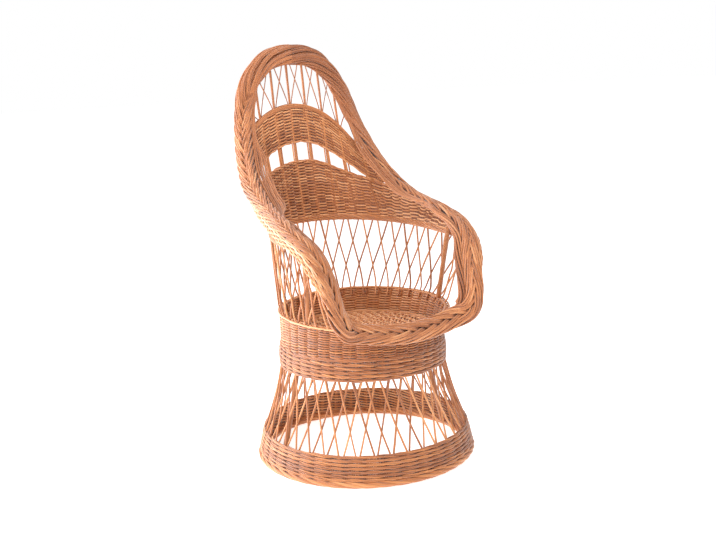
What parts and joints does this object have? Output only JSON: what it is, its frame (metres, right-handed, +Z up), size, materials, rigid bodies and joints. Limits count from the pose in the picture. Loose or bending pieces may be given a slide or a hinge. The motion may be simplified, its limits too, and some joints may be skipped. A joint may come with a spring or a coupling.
{
  "type": "wicker armchair",
  "caption": "Woven willow armchair on a flared round basketwork base, with an arched openwork back whose plaited border runs down into the arms and the front of the seat.",
  "frame": {"origin": "on the floor, under the middle of the bounding box", "axes": "+Z up, the sitter faces -Y, +X is the sitter's left hand side"},
  "size_m": [0.6, 0.7058, 1.1071],
  "materials": {
    "willow_weave": "buff willow rods, thin clear varnish",
    "willow_plait": "paler buff willow rods, plaited, thin clear varnish",
    "willow_post": "thick peeled willow rods, thin clear varnish"
  },
  "bodies": {
    "root": {"arm_back_lattice": "willow_weave", "arm_post_left": "willow_post", "arm_post_right": "willow_post", "arm_rail": "willow_weave", "back_stake_1": "willow_weave", "back_stake_2": "willow_weave", "back_stake_3": "willow_weave", "back_stake_4": "willow_weave", "back_stake_5": "willow_weave", "back_stake_6": "willow_weave", "back_stake_7": "willow_weave", "back_stake_8": "willow_weave", "base_lattice": "willow_weave", "base_post_left": "willow_post", "base_post_right": "willow_post", "border_arm_left": "willow_plait", "border_arm_right": "willow_plait", "border_front": "willow_plait", "border_hoop": "willow_post", "border_side_left": "willow_plait", "border_side_right": "willow_plait", "border_top": "willow_plait", "crescent_front": "willow_weave", "crescent_rear": "willow_weave", "fan_cross_1": "willow_weave", "fan_cross_2": "willow_weave", "fan_cross_3": "willow_weave", "fan_cross_4": "willow_weave", "fan_cross_5": "willow_weave", "foot_band": "willow_weave", "foot_border": "willow_weave", "lower_panel_front": "willow_weave", "lower_panel_rear": "willow_weave", "seat_band": "willow_weave", "seat_bearer_left": "willow_post", "seat_bearer_right": "willow_post", "seat_hoop": "willow_weave", "seat_rim": "willow_weave", "seat_weave": "willow_weave", "waist_band": "willow_weave"}
  },
  "joints": []
}
